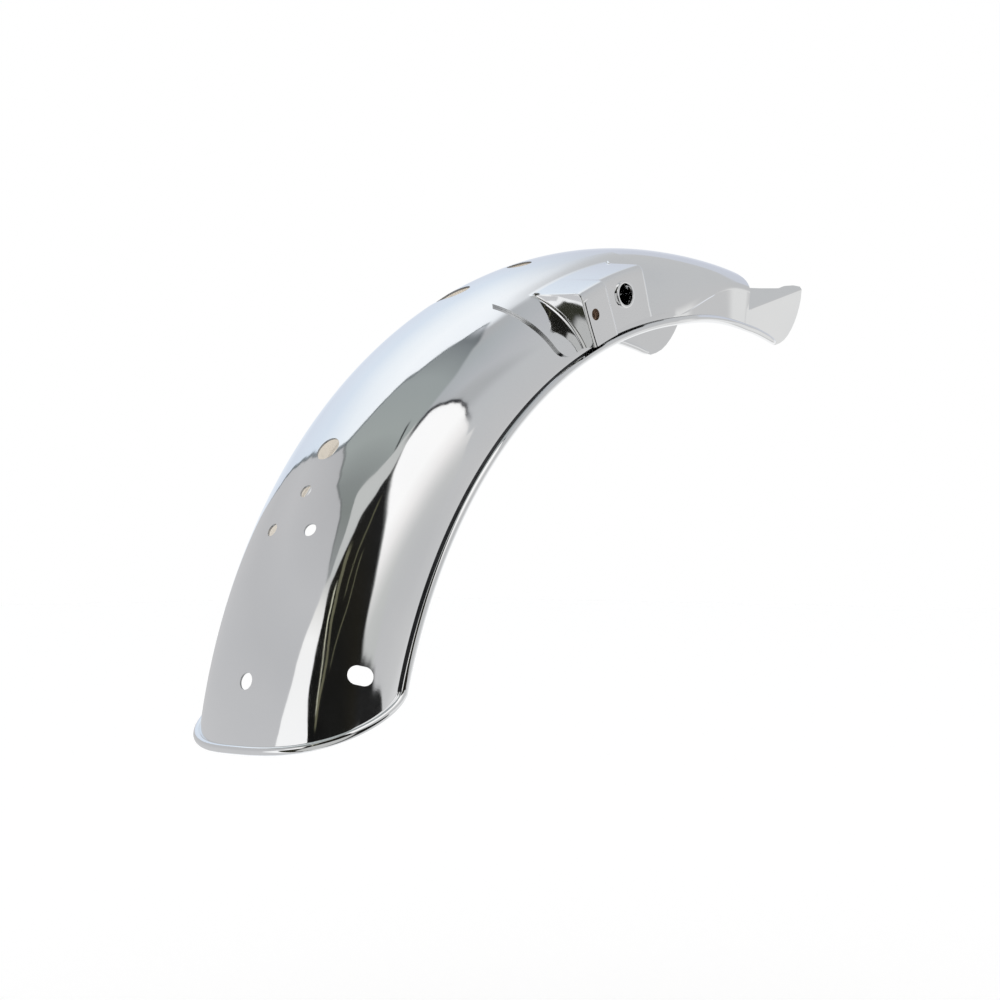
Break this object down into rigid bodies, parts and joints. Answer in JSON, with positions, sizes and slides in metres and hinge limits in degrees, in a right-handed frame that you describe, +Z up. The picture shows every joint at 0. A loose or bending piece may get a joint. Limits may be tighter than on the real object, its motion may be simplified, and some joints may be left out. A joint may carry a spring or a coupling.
{
  "type": "motorcycle rear mudguard",
  "caption": "Chromed pressed steel rear mudguard with a rolled rim, a narrowed front with two ears, and a box bracket with a weld nut on its right side.",
  "frame": {"origin": "on the axis of the bracket bolt, where that axis meets the mudguard's middle plane", "axes": "+X forward along the motorcycle, +Y to the left along the axis of the bracket bolt, +Z up, with the mudguard as it is mounted over the rear wheel"},
  "size_m": [0.4176, 0.132, 0.2722],
  "materials": {
    "chromed_blade": "polished chrome on pressed steel",
    "chromed_bracket": "polished chrome on a pressed and spot-welded bracket",
    "plain_nut": "unplated steel, browned"
  },
  "bodies": {
    "root": {"mudguard_blade": "chromed_blade", "side_bracket_right": "chromed_bracket", "weld_nut_right": "plain_nut"}
  },
  "joints": []
}
